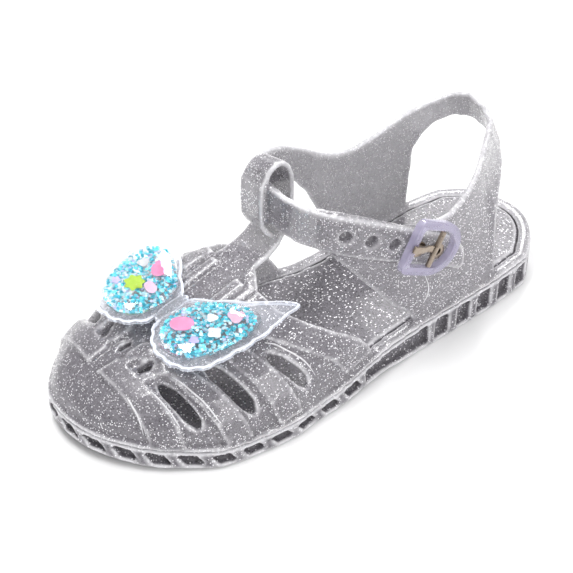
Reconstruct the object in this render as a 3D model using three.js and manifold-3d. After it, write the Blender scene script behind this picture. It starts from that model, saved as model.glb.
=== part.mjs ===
// A child's left jelly sandal, moulded in clear glitter plastic, with a butterfly on the vamp.
// Millimetres. Toe along +X, outer side of the foot along +Y, the floor at Z = 0.
import * as THREE from 'three';
import { mergeVertices } from 'three/addons/utils/BufferGeometryUtils.js';
import Module from 'manifold-3d';

const wasm = await Module();
wasm.setup();

// Sole
const soleLength = 175;
const ballWidth = 72.3;
const waistWidth = 48.9;
const heelWidth = 49.3;
const heelThickness = 12.5;
const foreThickness = 8;
const toeSpring = 3.7;
const archLift = 0.9;
const soleChamfer = 0.8;

// Pockets moulded into the side of the sole
const pocketDepth = 2.6;
const pocketFloor = 1.7;
const pocketRoof = 1.1;

// Grooves across the tread
const grooveDepth = 1;
const grooveWidth = 2.4;
const groovePitch = 9;
const grooveMargin = 9;

// Upper
const wall = 2.2;
const strapThickness = 2;
const seamGap = 0.35;
const flangeWidth = 4.6;
const flangeThickness = 1.5;
const wallSetback = 1.1;
const instepRise = 29.4;
const vampRidgeShift = 5.4;
const ankleHeight = 63.5;
const ankleWidth = 49.3;
const ribHeight = 1;

// T-bar and the loop at its top
const barWidth = 14;
const barShift = 6.4;
const barThickness = 1.8;
const loopDepth = 9.4;
const barFootAt = 0.645;

// Buckle, its pin and prong, and the strap's holes with their eyelets
const buckleLength = 21;
const buckleWidth = 18;
const buckleRim = 2.6;
const buckleThickness = 2.2;
const buckleCorner = 2.4;
const pinRadius = 0.9;
const prongWidth = 2.2;
const prongThickness = 0.8;
const holeRadius = 2;
const holePitch = 7.6;
const holeCount = 5;
const eyeletWall = 0.45;
const eyeletLip = 0.7;
const eyeletThickness = 0.45;

// Butterfly
const wingLength = 42.3;
const wingReach = 27.2;
const filmThickness = 1;
const weldHeight = 0.5;
const weldWidth = 1;
const scallopDepth = 0.6;
const scallopCount = 15;
const pouchHeight = 3;
const bodyLength = 13;
const bodyWidth = 4;
const bossRadius = 3.6;
const bossDepth = 4;

// Steps of the curved surfaces
const outlineSteps = 36;
const vampLengthSteps = 13;
const vampAroundSteps = 20;
const bandStepsPerRow = 2;

// Tables hold shares of the named sizes above, a row for each section from heel to toe
const outlineRows = [
  { at: 0, width: 0, shift: 0 },
  { at: 0.03, width: 0.596 * heelWidth, shift: -0.022 },
  { at: 0.08, width: 0.909 * heelWidth, shift: -0.01 },
  { at: 0.16, width: heelWidth, shift: 0.001 },
  { at: 0.28, width: 0.984 * heelWidth, shift: 0.033 },
  { at: 0.42, width: waistWidth, shift: 0.06 },
  { at: 0.56, width: 0.816 * ballWidth, shift: 0.047 },
  { at: 0.68, width: ballWidth, shift: 0.001 },
  { at: 0.8, width: 0.981 * ballWidth, shift: -0.017 },
  { at: 0.9, width: 0.788 * ballWidth, shift: -0.047 },
  { at: 0.96, width: 0.512 * ballWidth, shift: -0.053 },
  { at: 0.99, width: 0.288 * ballWidth, shift: -0.068 },
  { at: 1, width: 0, shift: -0.08 },
];

const topRows = [
  { at: 0, height: heelThickness },
  { at: 0.28, height: heelThickness },
  { at: 0.6, height: foreThickness },
  { at: 0.75, height: foreThickness },
  { at: 1, height: foreThickness + toeSpring },
];

const bottomRows = [
  { at: 0, lift: 0 },
  { at: 0.34, lift: 0 },
  { at: 0.46, lift: archLift },
  { at: 0.58, lift: 0 },
  { at: 0.78, lift: 0 },
  { at: 0.89, lift: 0.25 * toeSpring },
  { at: 1, lift: toeSpring },
];

// Side pockets: where a stretch of them runs along the sole, how many, how much of the pitch each
// one fills, and how far its top leans forward as a share of the pitch
const pocketRows = [
  { from: 0.035, to: 0.345, count: 6, fill: 0.6, lean: 0 },
  { from: 0.345, to: 0.515, count: 1, fill: 0.93, lean: 0.02 },
  { from: 0.515, to: 1, count: 11, fill: 0.62, lean: 0.3 },
];

const grooveRows = [
  { from: 0.07, to: 0.3 },
  { from: 0.6, to: 0.86 },
];

// Ridge of the vamp: height over the footbed as a share of the rise at the throat
const ridgeRows = [
  { at: 0.46, rise: 1.12, ridge: -1 },
  { at: 0.6, rise: 1.06, ridge: -1 },
  { at: 0.65, rise: 1, ridge: -1 },
  { at: 0.72, rise: 0.87, ridge: -0.9 },
  { at: 0.78, rise: 0.765, ridge: -0.7 },
  { at: 0.84, rise: 0.675, ridge: -0.6 },
  { at: 0.9, rise: 0.54, ridge: -0.7 },
  { at: 0.95, rise: 0.395, ridge: -0.85 },
  { at: 0.98, rise: 0.24, ridge: -1 },
  { at: 1, rise: 0, ridge: -1.07 },
];

// Rear edge of the vamp: how far round from the outer side (0) over the ridge (0.5) to the inner
// side (1), and where along the sole the edge lies there
const throatRows = [
  { round: 0, at: 0.48 },
  { round: 0.1, at: 0.52 },
  { round: 0.2, at: 0.585 },
  { round: 0.3, at: 0.635 },
  { round: 0.37, at: 0.655 },
  { round: 0.425, at: 0.64 },
  { round: 0.46, at: 0.615 },
  { round: 0.54, at: 0.615 },
  { round: 0.575, at: 0.64 },
  { round: 0.63, at: 0.655 },
  { round: 0.7, at: 0.635 },
  { round: 0.8, at: 0.585 },
  { round: 0.9, at: 0.52 },
  { round: 1, at: 0.48 },
];

// One band is wound round the foot: from the outer tab back over the outer quarter, round the heel
// as the heel strap, forward over the inner quarter, across the instep as the ankle strap, and back
// over the outer tab to the free end. Each row is a section, by its low and its high edge:
// lowX, lowY, lowZ, highX, highY, highZ, as shares of length, ankle width and ankle height.
// A row whose low edge stands on the flange gives the side, 1 for outer and -1 for inner, instead.
const bandRows = [
  [0.55, 0.23, 0.787, 0.552, 0.23, 0.955],
  [0.517, 0.345, 0.658, 0.514, 0.351, 0.937],
  [0.469, 0.418, 0.488, 0.463, 0.424, 0.874],
  [0.423, 0.467, 0.323, 0.406, 0.462, 0.787],
  [0.377, 'flange', 1, 0.349, 0.465, 0.724],
  [0.297, 'flange', 1, 0.297, 0.454, 0.734],
  [0.229, 'flange', 1, 0.254, 0.426, 0.803],
  [0.176, 'flange', 1, 0.227, 0.389, 0.854],
  [0.174, 0.418, 0.583, 0.209, 0.345, 0.882],
  [0.158, 0.357, 0.671, 0.181, 0.264, 0.904],
  [0.119, 0.207, 0.713, 0.143, 0.152, 0.901],
  [0.094, 0.085, 0.737, 0.114, 0.061, 0.891],
  [0.086, -0.057, 0.765, 0.098, -0.061, 0.904],
  [0.088, -0.183, 0.776, 0.097, -0.203, 0.926],
  [0.106, -0.3, 0.765, 0.114, -0.308, 0.901],
  [0.137, -0.365, 0.726, 0.154, -0.385, 0.857],
  [0.161, -0.394, 0.661, 0.183, -0.41, 0.835],
  [0.173, -0.422, 0.583, 0.209, -0.422, 0.813],
  [0.176, 'flange', -1, 0.229, -0.432, 0.787],
  [0.24, 'flange', -1, 0.263, -0.442, 0.75],
  [0.309, 'flange', -1, 0.314, -0.446, 0.72],
  [0.377, 'flange', -1, 0.36, -0.438, 0.746],
  [0.403, -0.418, 0.472, 0.406, -0.422, 0.819],
  [0.426, -0.414, 0.598, 0.44, -0.414, 0.882],
  [0.457, -0.414, 0.709, 0.474, -0.412, 0.932],
  [0.503, -0.398, 0.75, 0.509, -0.394, 0.964],
  [0.537, -0.357, 0.772, 0.541, -0.355, 0.983],
  [0.564, -0.272, 0.784, 0.564, -0.27, 0.995],
  [0.58, -0.142, 0.791, 0.58, -0.142, 1],
  [0.585, 0, 0.791, 0.585, 0, 1],
  [0.581, 0.122, 0.784, 0.581, 0.122, 0.995],
  [0.572, 0.223, 0.775, 0.572, 0.223, 0.989],
  [0.554, 0.316, 0.759, 0.554, 0.316, 0.975],
  [0.529, 0.387, 0.734, 0.529, 0.387, 0.954],
  [0.497, 0.443, 0.699, 0.497, 0.443, 0.923],
  [0.451, 0.493, 0.649, 0.451, 0.493, 0.866],
  [0.411, 0.519, 0.598, 0.411, 0.519, 0.806],
  [0.366, 0.529, 0.535, 0.366, 0.529, 0.739],
  [0.32, 0.531, 0.463, 0.323, 0.531, 0.668],
  [0.295, 0.531, 0.418, 0.295, 0.531, 0.606],
  [0.282, 0.531, 0.41, 0.282, 0.531, 0.545],
  [0.277, 0.531, 0.436, 0.277, 0.531, 0.5],
];

// The ankle strap is the part of the band from this row to the last
const strapFirstRow = 24;

// T-bar from the vamp up inside the strap, over it and down in front: along the sole, up from the
// vamp (0) to the ankle height (1), forward by a share of the loop's depth, its width as a share of the bar's, and
// how far its outer edge stands over its inner edge as a share of its width
const barRows = [
  { at: 0.668, up: -0.045, forward: 0, width: 1.1, skew: 0 },
  { at: 0.645, up: 0, forward: 0, width: 1.05, skew: 0 },
  { at: 0.62, up: 0.055, forward: 0, width: 1, skew: 0 },
  { at: 0.595, up: 0.123, forward: 0, width: 1, skew: 0 },
  { at: 0.57, up: 0.25, forward: 0, width: 1, skew: 0 },
  { at: 0.549, up: 0.432, forward: 0, width: 0.94, skew: 0 },
  { at: 0.541, up: 0.625, forward: 0, width: 0.9, skew: 0 },
  { at: 0.54, up: 0.841, forward: 0, width: 0.88, skew: 0.05 },
  { at: 0.541, up: 0.989, forward: 0, width: 0.86, skew: 0.15 },
  { at: 0.541, up: 1.091, forward: 0.08, width: 0.82, skew: 0.25 },
  { at: 0.541, up: 1.154, forward: 0.3, width: 0.79, skew: 0.3 },
  { at: 0.541, up: 1.164, forward: 0.56, width: 0.79, skew: 0.3 },
  { at: 0.541, up: 1.102, forward: 0.83, width: 0.79, skew: 0.28 },
  { at: 0.541, up: 0.966, forward: 1.06, width: 0.79, skew: 0.18 },
  { at: 0.541, up: 0.818, forward: 1.1, width: 0.79, skew: 0.06 },
  { at: 0.541, up: 0.636, forward: 1.1, width: 0.79, skew: 0 },
  { at: 0.541, up: 0.489, forward: 1.06, width: 0.79, skew: 0 },
  { at: 0.541, up: 0.387, forward: 0.9, width: 0.77, skew: 0 },
  { at: 0.541, up: 0.314, forward: 0.7, width: 0.74, skew: 0 },
  { at: 0.541, up: 0.259, forward: 0.52, width: 0.7, skew: 0 },
];

// Raised cross strips of the vamp, one row for each pair: where the strip leaves the ridge and where
// it meets the sole, and its width at either end
const crossRows = [
  { top: 0.915, foot: 0.893, topWidth: 6.5, footWidth: 8.5 },
  { top: 0.867, foot: 0.786, topWidth: 6, footWidth: 8.5 },
  { top: 0.787, foot: 0.687, topWidth: 6, footWidth: 8.5 },
];

// Raised border along the rear edge of the vamp, its width measured along the sole
const borderTopWidth = 10;
const borderFootWidth = 12;

// Gaps between the cross strips, from a start to an end given as shares of the way up to the ridge
const gapRows = [
  { top: 0.889, foot: 0.842, width: 4.4, start: 0.66, end: 0.18 },
  { top: 0.828, foot: 0.743, width: 4.8, start: 0.66, end: 0.17 },
  { top: 0.79, foot: 0.63, width: 4.4, start: 0.5, end: 0.14 },
];

// Spine straps along the vamp, woven with the cross strips: how far round from the ridge each lies
const spineRows = [
  { offset: 0.14, width: 3.6 },
  { offset: 0.05, width: 3.6 },
  { offset: -0.05, width: 3.6 },
  { offset: -0.14, width: 3.6 },
];
const spineFrom = 0.66;
const spineTo = 0.915;
const spineHeight = 0.7;

// Small gaps between the spine straps in front of the butterfly
const windowRows = [
  { offset: 0.098, from: 0.857, to: 0.885, width: 2.6 },
  { offset: 0, from: 0.861, to: 0.885, width: 1.8 },
  { offset: -0.098, from: 0.857, to: 0.885, width: 2.6 },
];

// Place of the buckle's middle along the sole and up the ankle, and how far the strap dips there
const buckleAt = 0.366;
const buckleUp = 0.661;
const buckleTilt = 27;
const pinShare = -0.04;

// First eyelet behind the buckle's pin, as a share of the sole's length
const firstHoleAt = 0.35;

// Wing outline in the butterfly's own plane: forward along the body, and out to the side, as shares
// of the wing's length and reach
const wingRows = [
  { forward: -0.1, out: 0.02 },
  { forward: -0.26, out: 0.27 },
  { forward: -0.42, out: 0.56 },
  { forward: -0.635, out: 0.95 },
  { forward: -0.48, out: 0.96 },
  { forward: -0.3, out: 0.99 },
  { forward: -0.12, out: 0.975 },
  { forward: 0.06, out: 0.93 },
  { forward: 0.22, out: 0.87 },
  { forward: 0.33, out: 0.71 },
  { forward: 0.365, out: 0.5 },
  { forward: 0.35, out: 0.3 },
  { forward: 0.28, out: 0.14 },
  { forward: 0.17, out: 0.03 },
];

// Outline of the pouch on a wing, in the same shares
const pouchRows = [
  { forward: -0.13, out: 0.18 },
  { forward: -0.24, out: 0.36 },
  { forward: -0.33, out: 0.58 },
  { forward: -0.32, out: 0.78 },
  { forward: -0.17, out: 0.86 },
  { forward: 0.02, out: 0.82 },
  { forward: 0.17, out: 0.74 },
  { forward: 0.26, out: 0.58 },
  { forward: 0.28, out: 0.38 },
  { forward: 0.2, out: 0.19 },
  { forward: 0.03, out: 0.12 },
];

// Dome of a pouch: its outline shrinks as it rises
const domeRows = [
  { rise: 0, spread: 1 },
  { rise: 0.45, spread: 0.96 },
  { rise: 0.75, spread: 0.84 },
  { rise: 0.93, spread: 0.6 },
  { rise: 1, spread: 0.25 },
];

// Place of the butterfly's middle along the sole, across it and over the footbed, and its turns in
// degrees: towards the outer side, nose up, and outer wing up
const butterflyAt = 0.788;
const butterflyShift = -0.005;
const butterflyRise = 0.895;
const butterflyYaw = 9.5;
const butterflyPitch = -5.2;
const butterflyRoll = -4;

// Monotone cubic through the rows of a table, which never swings past them
function curveThrough(xs, ys) {
  const count = xs.length;
  const slopes = [];
  for (let i = 0; i < count - 1; i += 1) {
    slopes.push((ys[i + 1] - ys[i]) / (xs[i + 1] - xs[i]));
  }
  const tangents = [slopes[0]];
  for (let i = 1; i < count - 1; i += 1) {
    const product = slopes[i - 1] * slopes[i];
    tangents.push(product <= 0 ? 0 : (2 * product) / (slopes[i - 1] + slopes[i]));
  }
  tangents.push(slopes[count - 2]);
  return (x) => {
    let i = 0;
    while (i < count - 2 && x > xs[i + 1]) i += 1;
    const step = xs[i + 1] - xs[i];
    const t = THREE.MathUtils.clamp((x - xs[i]) / step, 0, 1);
    const rise = ys[i + 1] - ys[i];
    const bend = (t - 1) * (tangents[i] * step - rise) - t * (tangents[i + 1] * step - rise);
    return ys[i] + t * rise + t * (1 - t) * -bend;
  };
}

// Angle that runs from 0 at the heel to pi at the toe, so that both ends come out round
const turnOf = (share) => Math.acos(1 - 2 * THREE.MathUtils.clamp(share, 0, 1));
const roundColumn = (rows, key) => curveThrough(rows.map((r) => turnOf(r.at)), rows.map((r) => r[key]));
const plainColumn = (rows, key) => curveThrough(rows.map((r) => r.at), rows.map((r) => r[key]));

const outlineWidth = roundColumn(outlineRows, 'width');
const outlineShift = roundColumn(outlineRows, 'shift');
const topHeight = plainColumn(topRows, 'height');
const bottomLift = plainColumn(bottomRows, 'lift');
const footbedZ = (x) => topHeight(x / soleLength);
const treadZ = (x) => bottomLift(x / soleLength);

// Point of the sole's outline on one side, side 1 outer or -1 inner
function outlinePoint(side, share) {
  const turn = turnOf(share);
  const y = outlineShift(turn) * ballWidth + side * outlineWidth(turn) / 2;
  return new THREE.Vector2(share * soleLength, y);
}

// Outline moved inwards: heel, outer side forwards, toe, inner side back
function outlineRing(inset) {
  const shares = [];
  for (let k = 0; k <= outlineSteps; k += 1) {
    shares.push((1 - Math.cos((Math.PI * k) / outlineSteps)) / 2);
  }
  const points = shares.map((s) => outlinePoint(1, s));
  for (let k = outlineSteps - 1; k > 0; k -= 1) {
    points.push(outlinePoint(-1, shares[k]));
  }
  return points.map((p, i) => {
    const before = points[(i + points.length - 1) % points.length];
    const after = points[(i + 1) % points.length];
    const along = after.clone().sub(before).normalize();
    return new THREE.Vector2(p.x + along.y * inset, p.y - along.x * inset);
  });
}

// The outline moved inwards, at a place along the sole, on one side
const sideCache = new Map();

function sideAt(side, inset, x) {
  const key = `${side} ${inset}`;
  if (!sideCache.has(key)) {
    const ring = outlineRing(inset);
    const half = side > 0 ? ring.slice(0, outlineSteps + 1)
      : [ring[0], ...ring.slice(outlineSteps).reverse()];
    sideCache.set(key, half);
  }
  const half = sideCache.get(key);
  for (let i = 0; i < half.length - 1; i += 1) {
    if (x >= half[i].x && x <= half[i + 1].x) {
      const t = (x - half[i].x) / (half[i + 1].x - half[i].x);
      return THREE.MathUtils.lerp(half[i].y, half[i + 1].y, t);
    }
  }
  return half[half.length - 1].y;
}

// Indexed geometry from points and faces, with equal points merged and flat faces dropped
function geometryFrom(points, faces) {
  const geometry = new THREE.BufferGeometry();
  geometry.setAttribute('position', new THREE.Float32BufferAttribute(points.flatMap((p) => [p.x, p.y, p.z]), 3));
  geometry.setIndex(faces.flat());
  return cleaned(geometry);
}

function cleaned(source) {
  const bare = source.clone();
  bare.deleteAttribute('normal');
  bare.deleteAttribute('uv');
  const merged = mergeVertices(bare, 1e-4);
  const kept = [];
  const index = merged.getIndex().array;
  for (let i = 0; i < index.length; i += 3) {
    const [a, b, c] = [index[i], index[i + 1], index[i + 2]];
    if (a !== b && b !== c && c !== a) kept.push(a, b, c);
  }
  merged.setIndex(kept);
  return merged;
}

function solidOf(geometry) {
  const clean = cleaned(geometry);
  return new wasm.Manifold(new wasm.Mesh({
    numProp: 3,
    vertProperties: Float32Array.from(clean.getAttribute('position').array),
    triVerts: Uint32Array.from(clean.getIndex().array),
  }));
}

function geometryOf(solid) {
  const mesh = solid.getMesh();
  const geometry = new THREE.BufferGeometry();
  geometry.setAttribute('position', new THREE.Float32BufferAttribute(mesh.vertProperties, 3));
  geometry.setIndex(Array.from(mesh.triVerts));
  return geometry;
}

// Closed body through sections of equal point count, capped at both ends or joined end to end
function loft(sections, joined = false) {
  const size = sections[0].length;
  const faces = [];
  const last = joined ? sections.length : sections.length - 1;
  for (let i = 0; i < last; i += 1) {
    const next = (i + 1) % sections.length;
    for (let j = 0; j < size; j += 1) {
      const right = (j + 1) % size;
      const [a, b, c, d] = [i * size + j, i * size + right, next * size + right, next * size + j];
      faces.push([a, b, c], [a, c, d]);
    }
  }
  if (!joined) {
    const end = (sections.length - 1) * size;
    for (let j = 0; j < size / 2 - 1; j += 1) {
      const [a, b, c, d] = [j, j + 1, size - 2 - j, size - 1 - j];
      faces.push([a, c, b], [a, d, c]);
      faces.push([end + a, end + b, end + c], [end + a, end + c, end + d]);
    }
  }
  const geometry = geometryFrom(sections.flat(), faces);
  return volumeOf(geometry) < 0 ? flipped(geometry) : geometry;
}

function volumeOf(geometry) {
  const p = geometry.getAttribute('position');
  const index = geometry.getIndex().array;
  const [a, b, c] = [new THREE.Vector3(), new THREE.Vector3(), new THREE.Vector3()];
  let total = 0;
  for (let i = 0; i < index.length; i += 3) {
    a.fromBufferAttribute(p, index[i]);
    b.fromBufferAttribute(p, index[i + 1]);
    c.fromBufferAttribute(p, index[i + 2]);
    total += a.dot(b.cross(c)) / 6;
  }
  return total;
}

function flipped(geometry) {
  const index = Array.from(geometry.getIndex().array);
  for (let i = 0; i < index.length; i += 3) {
    [index[i], index[i + 1]] = [index[i + 1], index[i]];
  }
  geometry.setIndex(index);
  return geometry;
}

// Thick sheet either side of a surface: each section is its low row of points and back along its high
function thickBand(surface, across, alongShares, acrossSteps) {
  const sections = alongShares.map((u) => {
    const outer = [];
    const inner = [];
    for (let k = 0; k <= acrossSteps; k += 1) {
      const v = k / acrossSteps;
      const normal = surfaceNormal(surface, u, v);
      const [below, above] = across(u, v);
      outer.push(surface(u, v).addScaledVector(normal, above));
      inner.push(surface(u, v).addScaledVector(normal, -below));
    }
    return [...outer, ...inner.reverse()];
  });
  return loft(sections);
}

function surfaceNormal(surface, u, v) {
  const d = 1e-3;
  const du = surface(Math.min(u + d, 1), v).sub(surface(Math.max(u - d, 0), v));
  const dv = surface(u, Math.min(v + d, 1)).sub(surface(u, Math.max(v - d, 0)));
  return du.cross(dv).normalize();
}

const stepsOf = (from, to, count) => Array.from({ length: count + 1 }, (_, i) => from + ((to - from) * i) / count);

// Sole: tread, sides, and a ledge round the top that takes the upper's flange
function soleBody() {
  const ledgeDrop = flangeThickness + seamGap;
  const levels = [
    { inset: soleChamfer, z: (x) => treadZ(x) },
    { inset: 0, z: (x) => treadZ(x) + soleChamfer },
    { inset: 0, z: (x) => footbedZ(x) - ledgeDrop },
    { inset: flangeWidth + seamGap, z: (x) => footbedZ(x) - ledgeDrop },
    { inset: flangeWidth + seamGap, z: (x) => footbedZ(x) },
  ];
  const sections = levels.map((level) => outlineRing(level.inset)
    .map((p) => new THREE.Vector3(p.x, p.y, level.z(p.x))));
  return solidOf(ladderLoft(sections));
}

// Loft whose caps run across from the outer to the inner side, so that they follow the footbed
function ladderLoft(sections) {
  const size = sections[0].length;
  const faces = [];
  for (let i = 0; i < sections.length - 1; i += 1) {
    for (let j = 0; j < size; j += 1) {
      const right = (j + 1) % size;
      const [a, b, c, d] = [i * size + j, i * size + right, (i + 1) * size + right, (i + 1) * size + j];
      faces.push([a, c, b], [a, d, c]);
    }
  }
  const end = (sections.length - 1) * size;
  for (let k = 0; k < size / 2; k += 1) {
    const [a, b, c, d] = [k, k + 1, (size - k - 1) % size, (size - k) % size];
    faces.push([a, b, c], [a, c, d]);
    faces.push([end + a, end + c, end + b], [end + a, end + d, end + c]);
  }
  const geometry = geometryFrom(sections.flat(), faces);
  return volumeOf(geometry) < 0 ? flipped(geometry) : geometry;
}

// Distances along one side of the outline, so that the pockets are evenly spaced round the toe
function sideMeter(side) {
  const fine = 400;
  const points = stepsOf(0, Math.PI, fine).map((t) => outlinePoint(side, (1 - Math.cos(t)) / 2));
  const lengths = [0];
  for (let i = 1; i < points.length; i += 1) {
    lengths.push(lengths[i - 1] + points[i].distanceTo(points[i - 1]));
  }
  return {
    distanceAt: (share) => lengths[Math.round((turnOf(share) / Math.PI) * fine)],
    at: (distance, inset) => {
      let i = 1;
      while (i < fine && lengths[i] < distance) i += 1;
      const t = (distance - lengths[i - 1]) / (lengths[i] - lengths[i - 1]);
      const p = points[i - 1].clone().lerp(points[i], t);
      const along = points[i].clone().sub(points[i - 1]).normalize();
      return new THREE.Vector2(p.x + side * along.y * inset, p.y - side * along.x * inset);
    },
  };
}

function pocketCutters() {
  const cutters = [];
  const outside = 1.5;
  for (const side of [1, -1]) {
    const meter = sideMeter(side);
    for (const row of pocketRows) {
      const start = meter.distanceAt(row.from);
      const pitch = (meter.distanceAt(row.to) - start) / row.count;
      const steps = Math.max(2, Math.round(pitch / 6));
      for (let n = 0; n < row.count; n += 1) {
        const middle = start + pitch * (n + 0.5);
        const sections = stepsOf(-0.5, 0.5, steps).map((t) => {
          const low = middle + t * pitch * row.fill - row.lean * pitch * 0.5;
          const high = low + row.lean * pitch;
          return [
            corner(meter, low, -outside, 'low'),
            corner(meter, high, -outside, 'high'),
            corner(meter, high, pocketDepth, 'high'),
            corner(meter, low, pocketDepth, 'low'),
          ];
        });
        cutters.push(solidOf(loft(sections)));
      }
    }
  }
  return cutters;
}

function corner(meter, distance, inset, level) {
  const p = meter.at(distance, inset);
  const roof = footbedZ(p.x) - flangeThickness - seamGap - pocketRoof;
  return new THREE.Vector3(p.x, p.y, level === 'low' ? treadZ(p.x) + pocketFloor : roof);
}

function grooveCutters() {
  const cutters = [];
  for (const row of grooveRows) {
    const length = (row.to - row.from) * soleLength;
    const count = Math.floor(length / groovePitch);
    for (let n = 0; n <= count; n += 1) {
      const x = row.from * soleLength + n * groovePitch;
      const low = sideAt(-1, grooveMargin, x);
      const high = sideAt(1, grooveMargin, x);
      const box = new THREE.BoxGeometry(grooveWidth, high - low, 2 * grooveDepth);
      box.rotateY(-Math.atan((treadZ(x + 1) - treadZ(x - 1)) / 2));
      box.translate(x, (low + high) / 2, treadZ(x));
      cutters.push(solidOf(box));
    }
  }
  return cutters;
}

function makeSole() {
  let sole = soleBody();
  for (const cutter of [...pocketCutters(), ...grooveCutters()]) {
    sole = sole.subtract(cutter);
  }
  return sole;
}

// Flange of the upper, which lies in the sole's ledge
function makeFlange() {
  const outer = outlineRing(0);
  const inner = outlineRing(flangeWidth);
  const sections = outer.map((p, i) => {
    const q = inner[i];
    return [
      new THREE.Vector3(p.x, p.y, footbedZ(p.x) - flangeThickness),
      new THREE.Vector3(p.x, p.y, footbedZ(p.x)),
      new THREE.Vector3(q.x, q.y, footbedZ(q.x)),
      new THREE.Vector3(q.x, q.y, footbedZ(q.x) - flangeThickness),
    ];
  });
  return solidOf(loft(sections, true));
}

// Outer skin of the vamp. along is the place along the sole, round runs from the outer side over the
// ridge to the inner side, and inset moves the skin inwards
const ridgeRise = roundColumn(ridgeRows, 'rise');
const ridgePlace = roundColumn(ridgeRows, 'ridge');
const throatAt = curveThrough(throatRows.map((r) => r.round), throatRows.map((r) => r.at));
const vampSquareness = 0.88;

function vampSides(inset) {
  const setback = wallSetback + inset;
  const ring = outlineRing(setback);
  return { toe: ring[outlineSteps].x, setback };
}

function vampSkin(share, round, inset = 0) {
  const { toe, setback } = vampSides(inset);
  const x = Math.min(share * soleLength, toe);
  const turn = turnOf(share);
  const rise = Math.max(0, instepRise * ridgeRise(turnOf((share * soleLength) / toe)) - inset);
  const ridgeY = ridgePlace(turn) * vampRidgeShift;
  const angle = Math.PI * round;
  const reach = Math.sign(Math.cos(angle)) * Math.abs(Math.cos(angle)) ** vampSquareness;
  const side = reach >= 0 ? sideAt(1, setback, x) : sideAt(-1, setback, x);
  const y = ridgeY + Math.abs(reach) * (side - ridgeY);
  const z = footbedZ(x) - flangeThickness / 2 + rise * Math.sin(angle) ** vampSquareness;
  return new THREE.Vector3(x, y, z);
}

function makeVamp() {
  const skin = (inset) => {
    const toeShare = vampSides(inset).toe / soleLength;
    return stepsOf(0, 1, vampLengthSteps).map((t) => {
      const easing = Math.sin((t * Math.PI) / 2);
      return stepsOf(0, 1, vampAroundSteps).map((round) => {
        const from = throatAt(round);
        return vampSkin(from + (toeShare - from) * easing, round, inset);
      });
    });
  };
  const outer = skin(0);
  const inner = skin(wall);
  const sections = outer.map((row, i) => [...row, ...inner[i].slice().reverse()]);
  return solidOf(loft(sections));
}

// Piece that lies on the vamp along a line, from low to high over its skin
function onVamp(line, halfWidth, low, high, steps = 10) {
  const place = (t, w, lift) => {
    const [share, round] = line(t, w);
    const p = vampSkin(share, round);
    const d = 1e-3;
    const along = vampSkin(share + d, round).sub(vampSkin(share - d, round));
    const around = vampSkin(share, round + d).sub(vampSkin(share, round - d));
    return p.addScaledVector(along.cross(around).normalize(), lift);
  };
  const sections = stepsOf(0, 1, steps).map((t) => {
    const w = halfWidth(t);
    const top = [-1, 0, 1].map((k) => place(t, k * w, high));
    const under = [1, 0, -1].map((k) => place(t, k * w, low));
    return [...top, ...under];
  });
  return solidOf(loft(sections));
}

const mirrorRound = (side, r) => (side > 0 ? r : 1 - r);

// Line across the vamp, from the ridge (t = 0) down to the sole (t = 1), with w across it
function crossLine(side, row, from, to) {
  return (t, w) => {
    const down = THREE.MathUtils.lerp(from, to, t);
    const round = mirrorRound(side, 0.5 * down);
    const share = THREE.MathUtils.lerp(row.foot, row.top, down ** 1.25);
    return [share + w / soleLength, round];
  };
}

// Line along the rear edge of the vamp on one side, half a border's width in front of it
function borderLine(side) {
  return (t, w) => {
    const round = THREE.MathUtils.lerp(0.4, 0.03, t);
    const width = THREE.MathUtils.lerp(borderTopWidth, borderFootWidth, t);
    return [throatAt(round) + (width / 2 + w) / soleLength, mirrorRound(side, round)];
  };
}

// Line along the vamp at a distance round from the ridge, with w across it
function spineLine(row) {
  const around = vampSkin((spineFrom + spineTo) / 2, 0.5 + row.offset + 0.01)
    .distanceTo(vampSkin((spineFrom + spineTo) / 2, 0.5 + row.offset)) / 0.01;
  return (t, w) => {
    const share = THREE.MathUtils.lerp(row.from ?? spineFrom, row.to ?? spineTo, t);
    return [share, 0.5 + row.offset + w / around];
  };
}

function makeStrips() {
  const strips = [];
  for (const side of [1, -1]) {
    for (const row of crossRows) {
      const half = (t) => THREE.MathUtils.lerp(row.topWidth, row.footWidth, t) / 2;
      strips.push(onVamp(crossLine(side, row, 0.95, 0.03), half, -wall / 2, ribHeight, 5));
    }
    const half = (t) => THREE.MathUtils.lerp(borderTopWidth, borderFootWidth, t) / 2;
    strips.push(onVamp(borderLine(side), half, -wall / 2, ribHeight, 5));
  }
  for (const row of spineRows) {
    strips.push(onVamp(spineLine(row), () => row.width / 2, -wall / 2, ribHeight * spineHeight, 4));
  }
  return strips;
}

function gapCutters() {
  const cutters = [];
  for (const side of [1, -1]) {
    for (const row of gapRows) {
      const half = (t) => (row.width / 2) * Math.sqrt(Math.max(0.06, 1 - (2 * t - 1) ** 4));
      cutters.push(onVamp(crossLine(side, row, row.start, row.end), half, -2 * wall, 3 * ribHeight, 5));
    }
  }
  for (const row of windowRows) {
    cutters.push(onVamp(spineLine(row), () => row.width / 2, -2 * wall, 3 * ribHeight, 2));
  }
  return cutters;
}

// The wound band
const bandCount = bandRows.length - 1;

function bandRow(row) {
  const high = new THREE.Vector3(row[3] * soleLength, row[4] * ankleWidth, row[5] * ankleHeight);
  const lowX = row[0] * soleLength;
  if (row[1] === 'flange') {
    const y = sideAt(row[2], wallSetback + wall / 2, lowX);
    const low = new THREE.Vector3(lowX, y, footbedZ(lowX) - flangeThickness / 2);
    return { low, high };
  }
  return { low: new THREE.Vector3(lowX, row[1] * ankleWidth, row[2] * ankleHeight), high };
}

function bandColumns() {
  const rows = bandRows.map(bandRow);
  const places = rows.map((_, i) => i / bandCount);
  const column = (edge, axis) => curveThrough(places, rows.map((r) => r[edge][axis]));
  return {
    low: ['x', 'y', 'z'].map((axis) => column('low', axis)),
    high: ['x', 'y', 'z'].map((axis) => column('high', axis)),
  };
}

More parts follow.
